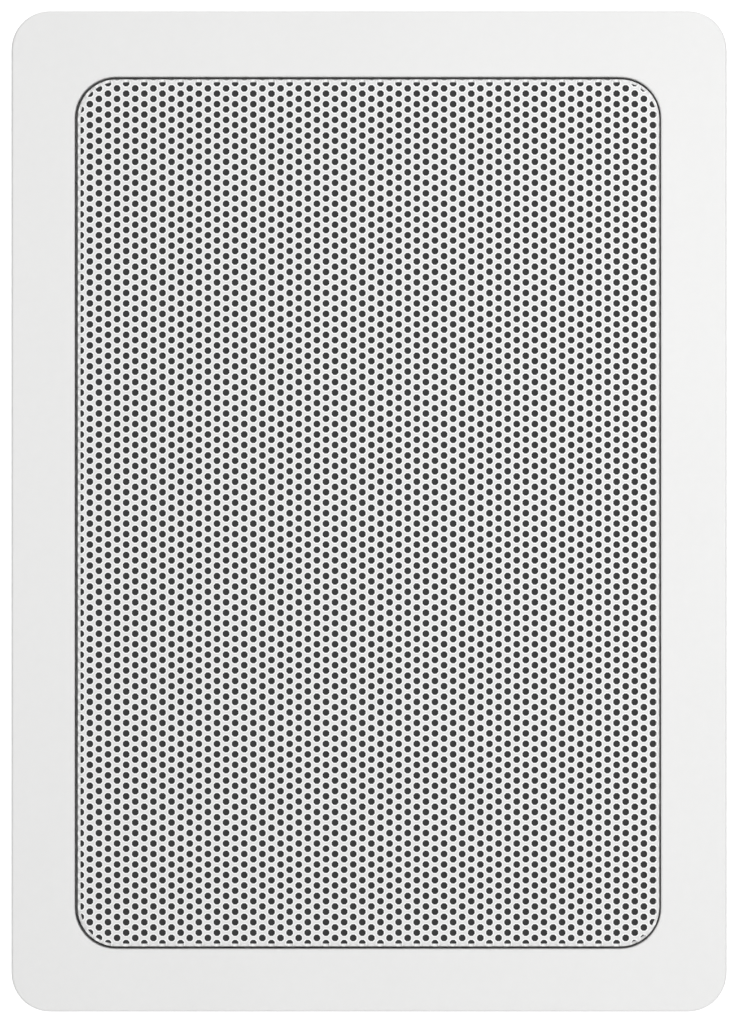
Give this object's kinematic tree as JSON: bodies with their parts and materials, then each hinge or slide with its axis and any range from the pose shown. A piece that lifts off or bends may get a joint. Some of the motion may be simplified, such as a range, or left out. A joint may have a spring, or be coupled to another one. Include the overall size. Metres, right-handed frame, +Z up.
{
  "type": "public address wall speaker",
  "caption": "White flush-mounted wall speaker: flat rectangular frame with rounded corners round a finely perforated steel grille, with a twin-cone driver and line transformer behind.",
  "frame": {"origin": "centre of the flange's rear face, which lies on the wall", "axes": "+X to the listener's right, +Y into the wall, +Z up; the listener stands on the -Y side"},
  "size_m": [0.187, 0.0653, 0.2615],
  "materials": {
    "frame_plastic": "satin moulded white",
    "grille_coat": "satin white powder coat",
    "fleece": "matte black",
    "card": "matte card",
    "zinc_steel": "zinc plated",
    "screw_steel": "zinc plated",
    "surround_rubber": "matte",
    "cone_paper": "matte pressed paper",
    "whizzer_paper": "matte pressed paper",
    "former_film": "smooth film",
    "copper": "lacquered copper wire",
    "spider_cloth": "impregnated cloth",
    "plate_steel": "bright plated",
    "ferrite": "matte sintered",
    "hard_paper": "smooth hard paper",
    "tinned_brass": "tinned",
    "rivet_metal": "plain",
    "red_sleeve": "smooth sleeve",
    "core_steel": "varnished laminations",
    "bobbin_plastic": "moulded",
    "winding_tape": "polyester tape",
    "blue_sleeve": "smooth sleeve",
    "block_plastic": "moulded",
    "brass": "machined"
  },
  "bodies": {
    "speaker": {"front_frame": "frame_plastic", "grille": "grille_coat", "grille_fleece": "fleece", "rim_gasket": "card", "basket": "zinc_steel", "driver_screws": "screw_steel", "surround": "surround_rubber", "spider": "spider_cloth", "top_plate": "plate_steel", "magnet": "ferrite", "yoke": "plate_steel", "tag_strip": "hard_paper", "solder_tags": "tinned_brass", "tag_rivets": "rivet_metal", "braided_leads": "tinned_brass", "driver_leads": "red_sleeve", "transformer_core": "core_steel", "transformer_bobbin": "bobbin_plastic", "transformer_winding": "winding_tape", "transformer_lugs": "tinned_brass", "transformer_strap": "zinc_steel", "transformer_screws": "screw_steel", "tap_leads": "blue_sleeve", "terminal_block": "block_plastic", "terminal_inserts": "brass", "terminal_screws": "screw_steel", "terminal_block_screws": "screw_steel"},
    "moving_cone": {"cone": "cone_paper", "whizzer_cone": "whizzer_paper", "dust_cap": "cone_paper", "voice_coil_former": "former_film", "voice_coil": "copper"}
  },
  "joints": [
    {"name": "cone_travel", "type": "slide", "parent": "speaker", "child": "moving_cone", "axis": [0, 1, 0], "range_m": [-0.0025, 0.0025], "stiffness_N_per_m": 1250, "deforming": ["surround", "spider", "braided_leads"]}
  ]
}
